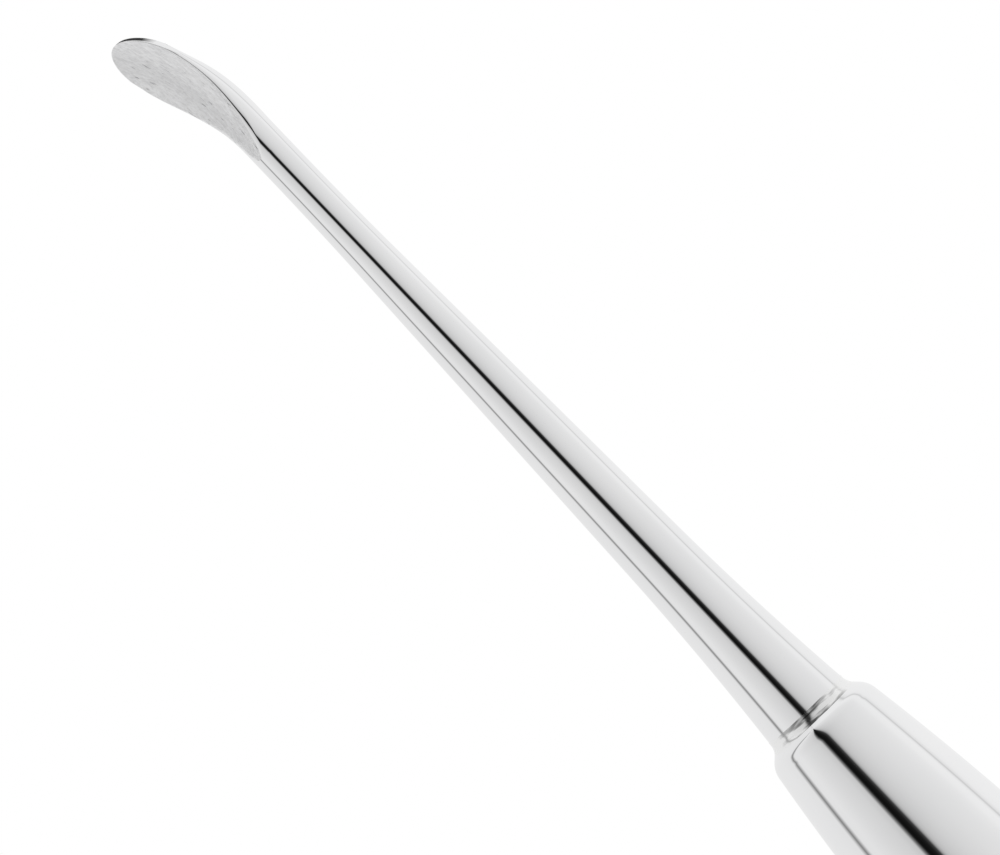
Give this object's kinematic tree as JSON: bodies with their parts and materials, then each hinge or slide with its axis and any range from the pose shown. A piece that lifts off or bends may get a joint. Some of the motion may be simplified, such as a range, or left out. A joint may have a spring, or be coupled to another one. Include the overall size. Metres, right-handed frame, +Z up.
{
  "type": "dental elevator",
  "caption": "Dental elevator: upturned spoon-ended gouge blade on a round tapered shank, set in a hollow pear-shaped polished steel handle with long flats.",
  "frame": {"origin": "on the surface that the instrument lies on, at the middle of the handle's lowest flat, under the handle's thickest section", "axes": "+X along the instrument towards the tip of the blade, +Z up, the way the hollow face of the blade looks, +Y across the blade"},
  "size_m": [0.1547, 0.012, 0.012],
  "materials": {
    "forging_steel": "mirror-polished martensitic stainless steel; the hollow face of the blade is ground satin",
    "handle_steel": "mirror-polished austenitic stainless steel",
    "filler_metal": "polished braze metal",
    "inner_steel": "turned stainless steel, hidden"
  },
  "bodies": {
    "root": {"blade_shank": "forging_steel", "braze_fillet": "filler_metal", "handle_shell": "handle_steel", "nose_bush": "inner_steel", "end_cap": "handle_steel"}
  },
  "joints": []
}
